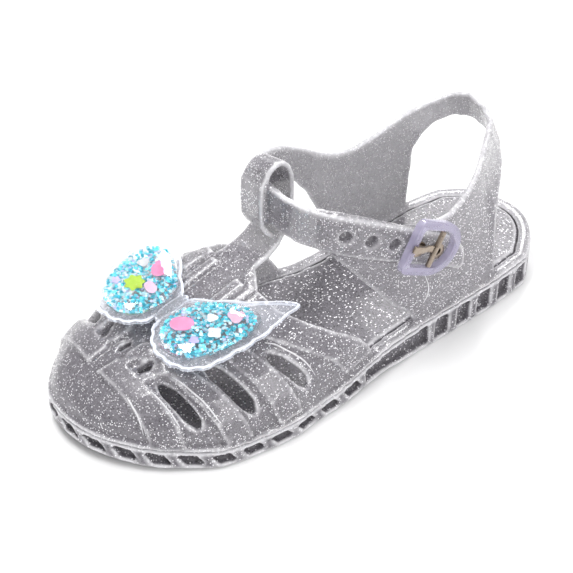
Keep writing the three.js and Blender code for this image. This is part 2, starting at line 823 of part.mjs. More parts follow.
const band = bandColumns();

function bandSurface(u, v) {
  const [lowX, lowY, lowZ] = band.low.map((curve) => curve(u));
  const [highX, highY, highZ] = band.high.map((curve) => curve(u));
  const lean = 1 - (1 - v) ** 2;
  return new THREE.Vector3(
    THREE.MathUtils.lerp(lowX, highX, v),
    THREE.MathUtils.lerp(lowY, highY, lean),
    THREE.MathUtils.lerp(lowZ, highZ, v),
  );
}

function makeBand() {
  const strapFrom = strapFirstRow / bandCount;
  const thickness = (u) => {
    const t = THREE.MathUtils.smoothstep(u, strapFrom, strapFrom + 3 / bandCount);
    return THREE.MathUtils.lerp(wall, strapThickness, t) / 2;
  };
  const across = (u) => [thickness(u), thickness(u)];
  return solidOf(thickBand(bandSurface, across, stepsOf(0, 1, bandCount * bandStepsPerRow), 3));
}

// Middle of the T-bar and of the loop, from its start in the vamp to the end of the flap
function barSurface() {
  const places = barRows.map((_, i) => i / (barRows.length - 1));
  const column = (value) => curveThrough(places, barRows.map(value));
  const xs = column((r) => r.at * soleLength + r.forward * loopDepth);
  const foot = vampSkin(barFootAt, 0.5, wall / 2).z;
  const zs = column((r) => THREE.MathUtils.lerp(foot, ankleHeight, r.up));
  const widths = column((r) => r.width * barWidth);
  const skews = column((r) => r.skew);
  return (u, v) => {
    const aside = (0.5 - v) * widths(u);
    return new THREE.Vector3(xs(u), aside - barShift, zs(u) + aside * skews(u));
  };
}

function makeBar() {
  const across = () => [barThickness / 2, barThickness / 2];
  return solidOf(thickBand(barSurface(), across, stepsOf(0, 1, 2 * (barRows.length - 1)), 1));
}

// Place along the band where its middle crosses a distance along the sole, on the buckled end
function strapPlace(x) {
  let [low, high] = [(strapFirstRow + 5) / bandCount, 1];
  for (let i = 0; i < 40; i += 1) {
    const middle = (low + high) / 2;
    if (bandSurface(middle, 0.5).x > x) low = middle;
    else high = middle;
  }
  return low;
}

// Frame of the strap at a place: along it, across it downwards, and out of it
function strapFrame(x) {
  const u = strapPlace(x);
  const step = 0.004;
  const along = bandSurface(u - step, 0.5).sub(bandSurface(Math.min(u + step, 1), 0.5)).normalize();
  const out = surfaceNormal(bandSurface, u, 0.5);
  if (out.y < 0) out.negate();
  const down = out.clone().cross(along).normalize();
  const place = bandSurface(u, 0.5).addScaledVector(out, strapThickness / 2);
  return new THREE.Matrix4().makeBasis(along, down, out).setPosition(place);
}

const holePlaces = stepsOf(0, holeCount - 1, holeCount - 1)
  .map((n) => firstHoleAt * soleLength + n * holePitch * Math.cos(THREE.MathUtils.degToRad(buckleTilt / 2)));

function strapHole(x) {
  const cutter = new THREE.CylinderGeometry(holeRadius, holeRadius, 3 * strapThickness, 12);
  cutter.rotateX(Math.PI / 2);
  return solidOf(cutter.applyMatrix4(strapFrame(x)));
}

// Lines, arcs and curves of the buckle's outline, moved inwards: square in front, round behind
function buckleOutline(inset, Kind) {
  const half = buckleWidth / 2 - inset;
  const front = buckleLength / 2 - inset;
  const corner = Math.max(buckleCorner - inset / 2, 0.6);
  const middle = buckleWidth / 2 - buckleLength / 2;
  const path = new Kind();
  path.moveTo(middle, -half);
  path.lineTo(front - corner, -half);
  path.absarc(front - corner, corner - half, corner, -Math.PI / 2, 0);
  path.lineTo(front, half - corner);
  path.absarc(front - corner, half - corner, corner, 0, Math.PI / 2);
  path.lineTo(middle, half);
  path.absarc(middle, 0, half, Math.PI / 2, (3 * Math.PI) / 2);
  return path;
}

function buckleMatrix() {
  const tilt = THREE.MathUtils.degToRad(buckleTilt);
  const along = new THREE.Vector3(Math.cos(tilt), 0, Math.sin(tilt));
  const out = new THREE.Vector3(0, 1, 0);
  const down = out.clone().cross(along);
  const x = buckleAt * soleLength;
  const strapFace = bandSurface(strapPlace(x), 0.5).y + strapThickness / 2;
  const place = new THREE.Vector3(x, strapFace + seamGap, buckleUp * ankleHeight);
  return new THREE.Matrix4().makeBasis(along, down, out).setPosition(place);
}

function makeBuckleFrame() {
  const shape = buckleOutline(0, THREE.Shape);
  shape.holes.push(buckleOutline(buckleRim, THREE.Path));
  const options = { depth: buckleThickness, bevelEnabled: false, curveSegments: 5 };
  return solidOf(new THREE.ExtrudeGeometry(shape, options).applyMatrix4(buckleMatrix()));
}

const pinPlace = pinShare * buckleLength;
const pinHeight = pinRadius + eyeletThickness + seamGap;

function makeBucklePin() {
  const length = buckleWidth - 2 * (buckleRim + seamGap);
  const pin = new THREE.CylinderGeometry(pinRadius, pinRadius, length, 12);
  pin.translate(pinPlace, 0, pinHeight);
  return solidOf(pin.applyMatrix4(buckleMatrix()));
}

// Prong from the pin through the strap's eyelet and up over the front bar
function makeBuckleProng() {
  const bar = buckleLength / 2 - buckleRim;
  const overBar = buckleThickness + seamGap + prongThickness / 2;
  const rows = [
    { along: pinPlace + pinRadius + seamGap, out: pinHeight },
    { along: pinPlace + pinRadius + seamGap + 0.3 * bar, out: pinHeight },
    { along: 0.75 * bar, out: overBar },
    { along: bar + 0.9 * buckleRim, out: overBar },
  ];
  const sections = rows.map((row) => [[-1, -1], [1, -1], [1, 1], [-1, 1]].map(([across, up]) => new THREE.Vector3(
    row.along,
    (across * prongWidth) / 2,
    row.out + (up * prongThickness) / 2,
  )));
  return solidOf(loft(sections).applyMatrix4(buckleMatrix()));
}

function makeEyelet(x) {
  const barrel = holeRadius - seamGap;
  const bore = barrel - eyeletWall;
  const depth = -0.9 * strapThickness;
  const lip = seamGap;
  const profile = [
    [bore, depth], [barrel, depth], [barrel, lip], [holeRadius + eyeletLip, lip],
    [holeRadius + eyeletLip, lip + eyeletThickness], [bore, lip + eyeletThickness], [bore, depth],
  ];
  const ring = new THREE.LatheGeometry(profile.map(([r, h]) => new THREE.Vector2(r, h)), 14);
  ring.rotateX(Math.PI / 2);
  return solidOf(oriented(ring.applyMatrix4(strapFrame(x))));
}

const oriented = (geometry) => {
  const clean = cleaned(geometry);
  return volumeOf(clean) < 0 ? flipped(clean) : clean;
};

// Butterfly: closed curve through the rows of a table, on one side
function wingCurve(rows, side, count) {
  const points = rows.map((r) => new THREE.Vector3(r.forward * wingLength, side * r.out * wingReach, 0));
  const curve = new THREE.CatmullRomCurve3(points, true, 'centripetal');
  return stepsOf(0, 1, count).slice(0, -1).map((t) => curve.getPoint(t));
}

const middleOf = (points) => points
  .reduce((sum, p) => sum.add(p), new THREE.Vector3()).divideScalar(points.length);

// Outline of a wing with its scallops, moved towards the wing's middle
function wingOutline(side, inset) {
  const count = scallopCount * 3;
  const points = wingCurve(wingRows, side, count);
  const middle = middleOf(points);
  return points.map((p, i) => {
    const wave = Math.abs(Math.sin((Math.PI * scallopCount * i) / count)) - 0.5;
    const moved = p.clone().lerp(middle, (inset - scallopDepth * wave) / p.distanceTo(middle));
    return new THREE.Vector2(moved.x, moved.y);
  });
}

function butterflyMatrix() {
  const [yaw, pitch, roll] = [butterflyYaw, butterflyPitch, butterflyRoll].map(THREE.MathUtils.degToRad);
  const forward = new THREE.Vector3(
    Math.cos(pitch) * Math.cos(yaw),
    Math.cos(pitch) * Math.sin(yaw),
    Math.sin(pitch),
  );
  const level = new THREE.Vector3(-Math.sin(yaw), Math.cos(yaw), 0);
  const out = level.applyAxisAngle(forward, roll);
  const up = forward.clone().cross(out);
  const x = butterflyAt * soleLength;
  const place = new THREE.Vector3(x, butterflyShift * ballWidth, footbedZ(x) + butterflyRise * instepRise);
  return new THREE.Matrix4().makeBasis(forward, out, up).setPosition(place);
}

function plate(outline, from, depth) {
  const geometry = new THREE.ExtrudeGeometry(new THREE.Shape(outline), { depth, bevelEnabled: false });
  return solidOf(oriented(geometry.translate(0, 0, from).applyMatrix4(butterflyMatrix())));
}

function makeButterfly() {
  const round = stepsOf(0, 1, 20).slice(0, -1).map((t) => new THREE.Vector2(
    (Math.cos(2 * Math.PI * t) * bodyLength) / 2,
    (Math.sin(2 * Math.PI * t) * bodyWidth) / 2,
  ));
  let film = plate(round, 0, filmThickness + weldHeight);
  for (const side of [1, -1]) {
    const wing = plate(wingOutline(side, 0), 0, filmThickness + weldHeight);
    film = film.add(wing.subtract(plate(wingOutline(side, weldWidth), filmThickness, 2 * weldHeight)));
  }
  const boss = new THREE.CylinderGeometry(bossRadius, bossRadius, bossDepth, 16);
  const place = new THREE.Vector3().setFromMatrixPosition(butterflyMatrix());
  boss.rotateX(Math.PI / 2);
  boss.translate(place.x, place.y, place.z + (filmThickness - bossDepth) / 2);
  return film.add(solidOf(boss).subtract(vampKeepOut()));
}

// What the butterfly's boss stops at: the vamp with its raised strips, and a gap over it
function vampKeepOut() {
  const line = (t, w) => [THREE.MathUtils.lerp(butterflyAt - 0.05, butterflyAt + 0.05, t), 0.5 + w / 100];
  return onVamp(line, () => 1.6 * bossRadius, -2 * bossDepth, ribHeight + seamGap, 6);
}

function makePouch(side) {
  const base = filmThickness + seamGap;
  const outline = wingCurve(pouchRows, side, 24);
  const middle = middleOf(outline);
  const sections = domeRows.map((row) => outline.map((p) => {
    const q = p.clone().lerp(middle, 1 - row.spread);
    return q.setZ(base + row.rise * pouchHeight).applyMatrix4(butterflyMatrix());
  }));
  return solidOf(loft(sections));
}

const group = new THREE.Group();
group.name = 'jelly_sandal';

const sole = makeSole();
const soleBox = sole.boundingBox();
const middleY = (soleBox.min[1] + soleBox.max[1]) / 2;

// Adds a piece, moved so that the shoe stands with the middle of its outline at the origin
function addPiece(name, solid, material) {
  const geometry = geometryOf(solid);
  geometry.translate(-soleLength / 2, -middleY, 0);
  const mesh = new THREE.Mesh(geometry, material);
  mesh.name = name;
  group.add(mesh);
}

const clearJelly = new THREE.MeshStandardMaterial({ color: 0xb7b3b8, roughness: 0.25, metalness: 0 });
const clearBuckle = new THREE.MeshStandardMaterial({ color: 0xcfcbdc, roughness: 0.2, metalness: 0 });
const clearFilm = new THREE.MeshStandardMaterial({ color: 0xdfe3ea, roughness: 0.15, metalness: 0 });
const sequins = new THREE.MeshStandardMaterial({ color: 0x45b8cf, roughness: 0.3, metalness: 0 });
const brass = new THREE.MeshStandardMaterial({ color: 0x8a7458, roughness: 0.35, metalness: 1 });

addPiece('sole', sole, clearJelly);

let upper = makeFlange().add(makeVamp());
for (const strip of makeStrips()) upper = upper.add(strip);
for (const cutter of gapCutters()) upper = upper.subtract(cutter);
upper = upper.add(makeBand()).add(makeBar());
for (const x of holePlaces) upper = upper.subtract(strapHole(x));
addPiece('upper', upper, clearJelly);

addPiece('buckle_frame', makeBuckleFrame(), clearBuckle);
addPiece('buckle_pin', makeBucklePin(), brass);
addPiece('buckle_prong', makeBuckleProng(), brass);
addPiece('eyelet_rear', makeEyelet(holePlaces[0]), brass);
addPiece('eyelet_front', makeEyelet(holePlaces[1]), brass);

addPiece('butterfly', makeButterfly(), clearFilm);
addPiece('wing_pouch_outer', makePouch(1), sequins);
addPiece('wing_pouch_inner', makePouch(-1), sequins);

export default group;
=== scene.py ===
import math
import random

import bmesh
import bpy
from mathutils import Matrix, Vector


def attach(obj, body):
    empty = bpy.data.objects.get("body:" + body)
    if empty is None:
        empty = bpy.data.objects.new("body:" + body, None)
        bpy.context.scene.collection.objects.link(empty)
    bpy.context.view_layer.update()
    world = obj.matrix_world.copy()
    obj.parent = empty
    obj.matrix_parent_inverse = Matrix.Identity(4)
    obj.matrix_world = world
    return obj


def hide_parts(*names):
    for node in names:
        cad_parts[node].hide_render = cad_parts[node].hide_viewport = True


bl_info = {
    "name": "Glitter Jelly Sandal",
    "version": (1, 0, 0),
    "blender": (4, 5, 0),
    "location": "View3D > Sidebar > Sandal",
    "description": "Dresses a child's jelly sandal in clear glitter plastic, with a sequin butterfly",
    "category": "Object",
}

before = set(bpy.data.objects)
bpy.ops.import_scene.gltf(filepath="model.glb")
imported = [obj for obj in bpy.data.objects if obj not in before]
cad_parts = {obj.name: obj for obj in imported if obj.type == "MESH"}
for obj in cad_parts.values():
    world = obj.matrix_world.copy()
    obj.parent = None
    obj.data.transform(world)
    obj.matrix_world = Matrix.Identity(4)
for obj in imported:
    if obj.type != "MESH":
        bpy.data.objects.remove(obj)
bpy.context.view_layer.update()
BODY = "root"
MM = 0.001
SIDES = ("outer", "inner")


# Sizes and colours that a user would change
class SandalSizes(bpy.types.PropertyGroup):
    moulding_step: bpy.props.FloatProperty(
        name="Moulding step",
        description="Grid of the moulded surface before it is smoothed",
        default=0.66 * MM,
        unit="LENGTH",
    )
    moulding_softness: bpy.props.IntProperty(
        name="Moulding softness",
        description="How often the moulded surface is smoothed",
        default=3,
    )
    strap_softness: bpy.props.IntProperty(
        name="Strap softness",
        description="How often the quarters and the straps are smoothed as well",
        default=12,
    )
    flake: bpy.props.FloatProperty(
        name="Glitter flake",
        description="Width of a glitter flake in the plastic",
        default=0.45 * MM,
        unit="LENGTH",
    )
    sequins: bpy.props.IntProperty(
        name="Sequins",
        description="Number of loose sequins in each wing",
        default=900,
    )
    sequin_width: bpy.props.FloatProperty(
        name="Sequin width",
        description="Width of a sequin",
        default=1.1 * MM,
        unit="LENGTH",
    )
    sequin_thickness: bpy.props.FloatProperty(
        name="Sequin thickness",
        description="Thickness of a sequin",
        default=0.08 * MM,
        unit="LENGTH",
    )


class SandalColours(bpy.types.PropertyGroup):
    plastic: bpy.props.FloatVectorProperty(
        name="Plastic",
        description="Body colour of the glitter plastic",
        default=(0.145, 0.134, 0.156),
        subtype="COLOR",
    )
    plastic_pale: bpy.props.FloatVectorProperty(
        name="Pale plastic",
        description="Colour of the plastic in its pale clouds",
        default=(0.31, 0.298, 0.322),
        subtype="COLOR",
    )
    # The sparkle colour also paints the highlight on the plastic's convex edges
    sparkle_and_edge_highlight: bpy.props.FloatVectorProperty(
        name="Sparkle",
        description="Colour of the brightest flakes",
        default=(0.95, 0.94, 0.97),
        subtype="COLOR",
    )
    film: bpy.props.FloatVectorProperty(
        name="Film",
        description="Tint of the butterfly's clear film",
        default=(0.8, 0.83, 0.95),
        subtype="COLOR",
    )
    buckle: bpy.props.FloatVectorProperty(
        name="Buckle",
        description="Tint of the clear buckle",
        default=(0.4, 0.37, 0.52),
        subtype="COLOR",
    )
    metal: bpy.props.FloatVectorProperty(
        name="Metal",
        description="Colour of the buckle's pin, prong and eyelets",
        default=(0.4, 0.33, 0.27),
        subtype="COLOR",
    )


# Small helpers for a node tree
def new_material(name):
    material = bpy.data.materials.new(name)
    material.use_nodes = True
    nodes = material.node_tree.nodes
    nodes.clear()
    output = nodes.new("ShaderNodeOutputMaterial")
    shader = nodes.new("ShaderNodeBsdfPrincipled")
    material.node_tree.links.new(shader.outputs["BSDF"], output.inputs["Surface"])
    return material, shader


def add_node(material, kind, **settings):
    node = material.node_tree.nodes.new(kind)
    for key, value in settings.items():
        setattr(node, key, value)
    return node


def link(material, source, target):
    material.node_tree.links.new(source, target)


def feed(material, value, socket):
    """Links a socket's value, or sets a number, a colour or a vector."""
    if isinstance(value, bpy.types.NodeSocket):
        link(material, value, socket)
    elif socket.type == "RGBA":
        socket.default_value = (*value, 1)
    else:
        socket.default_value = value


def set_inputs(node, values):
    for name, value in values.items():
        node.inputs[name].default_value = value


def ramp(material, stops, source):
    """Colours from a list of places and colours along a value from 0 to 1."""
    node = add_node(material, "ShaderNodeValToRGB")
    band = node.color_ramp
    while len(band.elements) < len(stops):
        band.elements.new(0.5)
    for element, (place, colour) in zip(band.elements, stops):
        element.position = place
        element.color = (*colour, 1)
    link(material, source, node.inputs["Fac"])
    return node.outputs["Color"]


def mixed(material, amount, low, high, blend="MIX"):
    """A colour between two colours; the Mix node keeps its colour sockets at 6, 7 and 2."""
    node = add_node(material, "ShaderNodeMix", data_type="RGBA", blend_type=blend)
    feed(material, amount, node.inputs[0])
    feed(material, low, node.inputs[6])
    feed(material, high, node.inputs[7])
    return node.outputs[2]


def reckon(material, how, a, b):
    node = add_node(material, "ShaderNodeMath", operation=how)
    feed(material, a, node.inputs[0])
    feed(material, b, node.inputs[1])
    return node.outputs[0]


def reckon_vector(material, how, a, b=None):
    node = add_node(material, "ShaderNodeVectorMath", operation=how)
    feed(material, a, node.inputs[0])
    if b is not None:
        feed(material, b, node.inputs["Scale" if how == "SCALE" else 1])
    return node.outputs[0]


def object_place(material):
    return add_node(material, "ShaderNodeTexCoord").outputs["Object"]


def noise(material, scale, detail=2):
    pattern = add_node(material, "ShaderNodeTexNoise")
    set_inputs(pattern, {"Scale": scale, "Detail": detail})
    link(material, object_place(material), pattern.inputs["Vector"])
    return pattern.outputs["Fac"]


def raise_bumps(material, shader, height, strength, distance, normal=None):
    bump = add_node(material, "ShaderNodeBump")
    set_inputs(bump, {"Strength": strength, "Distance": distance})
    link(material, height, bump.inputs["Height"])
    if normal is not None:
        link(material, normal, bump.inputs["Normal"])
    link(material, bump.outputs["Normal"], shader.inputs["Normal"])


def edge_mask(material, start, end):
    """Rises from 0 to 1 where the surface turns outwards, or inwards when end is under start."""
    shape = add_node(material, "ShaderNodeNewGeometry")
    spread = add_node(material, "ShaderNodeMapRange")
    set_inputs(spread, {"From Min": start, "From Max": end})
    link(material, shape.outputs["Pointiness"], spread.inputs["Value"])
    return spread.outputs["Result"]


# Glitter plastic. Patterns are counted to the metre, shares run from 0 to 1
CLOUD_SCALE = 70
CLOUD_DETAIL = 3
SWELL_SCALE = 260
SWELL_STRENGTH = 0.12
DEEP_FLAKE = 0.6
DEEP_SHIFT = 3
DEEP_SHADES = ((0, (0.62, 0.61, 0.64)), (0.5, (1, 1, 1)), (1, (1.35, 1.34, 1.38)))
BRIGHT_ABOVE = 0.76
DARK_UNDER = 0.1
FLAKE_REACH = 0.42
FLAKE_TILT = 0.9
FLAKE_METAL = 0.6
FLAKE_OPACITY = 0.3
SPECK_SHADE = 0.42
# Painted shade: where pointiness falls through these bounds, hollows are darkened towards the speck colour
# by this share
SHADED_HOLLOW_POINTINESS = (0.495, 0.46)
PAINTED_SHADE_STRENGTH = 0.6
# Painted highlight: where pointiness rises through these bounds, edges are lightened towards the sparkle
# colour by this share
EDGE_HIGHLIGHT_POINTINESS = (0.506, 0.545)
PAINTED_EDGE_HIGHLIGHT = 0.75
EDGE_OPACITY = 0.3
ROUGH_WITHOUT_GLOSS = 0.7
SMOOTHED_BY_GLOSS = 0.4
BUMP_DEPTH = 0.3 * MM


def flakes(material, width, shift):
    """Cells of one glitter flake each, and the red, green and blue of each cell's random colour."""
    place = add_node(material, "ShaderNodeMapping")
    place.inputs["Location"].default_value = (shift, shift, shift)
    link(material, object_place(material), place.inputs["Vector"])
    cells = add_node(material, "ShaderNodeTexVoronoi")
    cells.inputs["Scale"].default_value = 1 / width
    link(material, place.outputs["Vector"], cells.inputs["Vector"])
    chances = add_node(material, "ShaderNodeSeparateColor")
    link(material, cells.outputs["Color"], chances.inputs["Color"])
    return cells, chances


def tilted_normal(material, cells, lit):
    """Surface normal that leans its own way on each bright flake."""
    lean = reckon_vector(material, "SUBTRACT", cells.outputs["Color"], (0.5, 0.5, 0.5))
    lean = reckon_vector(material, "SCALE", lean, reckon(material, "MULTIPLY", lit, FLAKE_TILT))
    surface = add_node(material, "ShaderNodeNewGeometry").outputs["Normal"]
    return reckon_vector(material, "NORMALIZE", reckon_vector(material, "ADD", surface, lean))


def glitter_plastic(name, depth, opacity, gloss, coarseness):
    """Clear soft plastic full of silver glitter: pale body, dark and bright flakes, wet gloss, a painted
    highlight on convex edges and painted shade in hollows.
    """
    sizes = bpy.context.scene.sandal_sizes
    colours = bpy.context.scene.sandal_colours
    material, shader = new_material(name)
    sparkle_and_edge_highlight = tuple(colours.sparkle_and_edge_highlight)
    # The speck colour is both the dark flakes' own colour and the painted shade in hollows
    speck_and_shade = tuple(c * SPECK_SHADE * depth for c in colours.plastic)
    body_low = tuple(c * depth for c in colours.plastic)
    body_high = tuple(c * depth for c in colours.plastic_pale)
    body = mixed(material, noise(material, CLOUD_SCALE, CLOUD_DETAIL), body_low, body_high)
    deep_chances = flakes(material, DEEP_FLAKE * coarseness * sizes.flake, DEEP_SHIFT)[1]
    shade = ramp(material, DEEP_SHADES, deep_chances.outputs["Green"])
    body = mixed(material, 1, body, shade, "MULTIPLY")
    cells, chances = flakes(material, coarseness * sizes.flake, 0)
    near = reckon(material, "LESS_THAN", cells.outputs["Distance"], FLAKE_REACH)
    bright = reckon(material, "GREATER_THAN", chances.outputs["Red"], BRIGHT_ABOVE)
    dark = reckon(material, "LESS_THAN", chances.outputs["Red"], DARK_UNDER)
    lit = reckon(material, "MULTIPLY", bright, near)
    unlit = reckon(material, "MULTIPLY", dark, near)
    body = mixed(material, lit, body, sparkle_and_edge_highlight)
    body = mixed(material, unlit, body, speck_and_shade)
    # Painted shade in hollows, darkening the body towards the speck colour
    painted_hollow_shade = reckon(material, "MULTIPLY", edge_mask(material, *SHADED_HOLLOW_POINTINESS), PAINTED_SHADE_STRENGTH)
    body = mixed(material, painted_hollow_shade, body, speck_and_shade)
    # Painted highlight on convex edges, lightening the body towards the sparkle colour
    edge_highlight = reckon(material, "MULTIPLY", edge_mask(material, *EDGE_HIGHLIGHT_POINTINESS), PAINTED_EDGE_HIGHLIGHT)
    link(material, mixed(material, edge_highlight, body, sparkle_and_edge_highlight), shader.inputs["Base Color"])
    normal = tilted_normal(material, cells, lit)
    raise_bumps(material, shader, noise(material, SWELL_SCALE), SWELL_STRENGTH, BUMP_DEPTH, normal)
    link(material, reckon(material, "MULTIPLY", lit, FLAKE_METAL), shader.inputs["Metallic"])
    solid = reckon(material, "ADD", reckon(material, "MULTIPLY", edge_highlight, EDGE_OPACITY), opacity)
    solid = reckon(material, "ADD", solid, reckon(material, "MULTIPLY", lit, FLAKE_OPACITY))
    link(material, solid, shader.inputs["Alpha"])
    set_inputs(shader, {
        "Roughness": ROUGH_WITHOUT_GLOSS - SMOOTHED_BY_GLOSS * gloss,
        "IOR": 1.45,
        "Transmission Weight": 0.2,
        "Coat Weight": gloss,
        "Coat Roughness": 0.12,
    })
    return material


# Clear plastic without glitter
FLOW_SCALE = 150
FLOW_DETAIL = 4
FLOW_STRENGTH = 0.15
PALE_FLOW = 1.12
FILM_EDGES = (0.505, 0.54)


def clear_plastic(name, colour, opacity, clarity=0, roughness=0.1, rim=0):
    """Clear moulded plastic or film: see-through, with faint flow marks, milky edges and a hard gloss."""
    material, shader = new_material(name)
    flow = noise(material, FLOW_SCALE, FLOW_DETAIL)
    pale = tuple(min(1, c * PALE_FLOW) for c in colour)
    link(material, mixed(material, flow, colour, pale), shader.inputs["Base Color"])
    raise_bumps(material, shader, flow, FLOW_STRENGTH, BUMP_DEPTH)
    raised = reckon(material, "MULTIPLY", edge_mask(material, *FILM_EDGES), rim)
    link(material, reckon(material, "ADD", raised, opacity), shader.inputs["Alpha"])
    set_inputs(shader, {
        "Roughness": roughness,
        "Transmission Weight": clarity,
        "IOR": 1.2,
        "Coat Weight": 1,
        "Coat Roughness": 0.05,
    })
    return material


# Plated metal and foil
GRIME_SCALE = 900
GRIME_DETAIL = 5
GRIME_SHADE = 0.6
METAL_ROUGHNESS = ((0.3, (0.2, 0.2, 0.2)), (0.7, (0.45, 0.45, 0.45)))
FOIL_GRAIN_SCALE = 2500
FOIL_GRAIN_STRENGTH = 0.2
FOIL_GRAIN_DEPTH = 0.05 * MM


def worn_metal(name, colour):
    """Plated metal with a slightly uneven tone and gloss."""
    material, shader = new_material(name)
    grime = noise(material, GRIME_SCALE, GRIME_DETAIL)
    dark = tuple(c * GRIME_SHADE for c in colour)
    link(material, mixed(material, grime, dark, colour), shader.inputs["Base Color"])
    link(material, ramp(material, METAL_ROUGHNESS, grime), shader.inputs["Roughness"])
    set_inputs(shader, {"Metallic": 1})
    return material


def sequin_foil(name, stops, shine):
    """Foil whose colour differs from piece to piece."""
    material, shader = new_material(name)
    piece = add_node(material, "ShaderNodeNewGeometry")
    link(material, ramp(material, stops, piece.outputs["Random Per Island"]), shader.inputs["Base Color"])
    grain = noise(material, FOIL_GRAIN_SCALE)
    raise_bumps(material, shader, grain, FOIL_GRAIN_STRENGTH, FOIL_GRAIN_DEPTH)
    set_inputs(shader, {"Metallic": shine, "Roughness": 0.32})
    return material


# Making pieces
MERGE_WITHIN = 0.002 * MM


def alone(piece):
    bpy.ops.object.select_all(action="DESELECT")
    piece.select_set(True)
    bpy.context.view_layer.objects.active = piece


def finish_modifier(piece, kind, **settings):
    alone(piece)
    modifier = piece.modifiers.new(kind.title(), kind)
    for key, value in settings.items():
        setattr(modifier, key, value)
    bpy.ops.object.modifier_apply(modifier=modifier.name)


def moulded_copy(node, name):
    """A merged copy of a CAD node, to be finished as a piece of its own."""
    alone(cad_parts[node])
    bpy.ops.object.duplicate()
    piece = bpy.context.active_object
    piece.parent = None
    piece.matrix_world = Matrix.Identity(4)
    piece.name = name
    piece.data.name = name
    alone(piece)
    bpy.ops.object.mode_set(mode="EDIT")
    bpy.ops.mesh.select_all(action="SELECT")
    bpy.ops.mesh.remove_doubles(threshold=MERGE_WITHIN)
    bpy.ops.object.mode_set(mode="OBJECT")
    return piece


def soften(piece, step, times):
    """Rebuilds a piece on an even grid and smooths it."""
    finish_modifier(piece, "REMESH", mode="VOXEL", voxel_size=step)
    finish_modifier(piece, "SMOOTH", factor=0.5, iterations=times)


def dress(piece, material, node):
    """Gives a finished piece its material and its body, and hides the CAD node it stands for, if any."""
    piece.data.materials.clear()
    piece.data.materials.append(material)
    if node:
        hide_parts(node)
    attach(piece, BODY)


SOLE_SOFTNESS = 3


class SoleOperator(bpy.types.Operator):
    """Moulds the sole with soft edges round its side pockets and ribs"""

    bl_idname = "sandal.sole"
    bl_label = "Sole"

    def execute(self, context):
        piece = moulded_copy("sole", "sole_moulding")
        soften(piece, context.scene.sandal_sizes.moulding_step, SOLE_SOFTNESS)
        bpy.ops.object.shade_smooth()
        plastic = glitter_plastic("sole plastic", depth=0.8, opacity=1, gloss=0.2, coarseness=1.35)
        dress(piece, plastic, "sole")
        return {"FINISHED"}


# The vamp's ribs lie in front of this, in millimetres from the middle of the sole
STRAPS_BEHIND = 12


class UpperOperator(bpy.types.Operator):
    """Moulds the upper in one piece: vamp, T-bar, quarters, heel strap and ankle strap"""

    bl_idname = "sandal.upper"
    bl_label = "Upper"

    def execute(self, context):
        sizes = context.scene.sandal_sizes
        piece = moulded_copy("upper", "upper_moulding")
        soften(piece, sizes.moulding_step, sizes.moulding_softness)
        straps = piece.vertex_groups.new(name="straps")
        behind = [v.index for v in piece.data.vertices if v.co.x < STRAPS_BEHIND * MM]
        straps.add(behind, 1, "REPLACE")
        finish_modifier(piece, "SMOOTH", factor=0.5, iterations=sizes.strap_softness, vertex_group="straps")
        bpy.ops.object.shade_smooth()
        plastic = glitter_plastic("upper plastic", depth=1, opacity=0.68, gloss=0.8, coarseness=1)
        dress(piece, plastic, "upper")
        return {"FINISHED"}


# Inner and outer end of each vamp crease, as millimetres forward and outwards
VAMP_CREASES = (((74, 12), (74, 20)), ((68, 15), (65, 27)), ((61, 16), (55, 32)), ((33, 22), (22, 32)))
# Top, bend and foot of the crease on the outer quarter, as millimetres forward and up
QUARTER_CREASE = ((-24.5, 29.5), (-26, 21), (-20.5, 15.5))
CREASE_POINTS = 6
CREASE_RADIUS = 0.28
CREASE_END = 0.3
# Well clear of the shoe, in millimetres
CLEAR_OF_SHOE = 100


def between(ends, share):
    return [a + (b - a) * share for a, b in zip(*ends)]


def spots_on(upper, places, way):
    """Where rays from places in millimetres meet the upper."""
    hits = [upper.ray_cast(Vector(place) * MM, Vector(way)) for place in places]
    return [spot for found, spot, _, _ in hits if found]


def crease_rows(upper):
    """Points of each crease: the vamp's are dropped from above, the quarter's come from outside."""
    rows = []
    for ends in VAMP_CREASES:
        shares = [k / (CREASE_POINTS - 1) for k in range(CREASE_POINTS)]
        above = [(*between(ends, share), CLEAR_OF_SHOE) for share in shares]
        rows.append(spots_on(upper, above, (0, 0, -1)))
    outside = [(x, CLEAR_OF_SHOE, z) for x, z in QUARTER_CREASE]
    rows.append(spots_on(upper, outside, (0, -1, 0)))
    return rows


def crease_curve(rows):
    curve = bpy.data.curves.new("creases", "CURVE")
    curve.dimensions = "3D"
    curve.bevel_depth = CREASE_RADIUS * MM
    curve.bevel_resolution = 2
    curve.resolution_u = 6
    curve.use_fill_caps = True
    for row in rows:
        points = curve.splines.new("BEZIER").bezier_points
        points.add(len(row) - 1)
        for point, spot in zip(points, row):
            point.co = spot
            point.handle_left_type = "AUTO"
            point.handle_right_type = "AUTO"
        points[0].radius = CREASE_END
        points[-1].radius = CREASE_END
    return curve


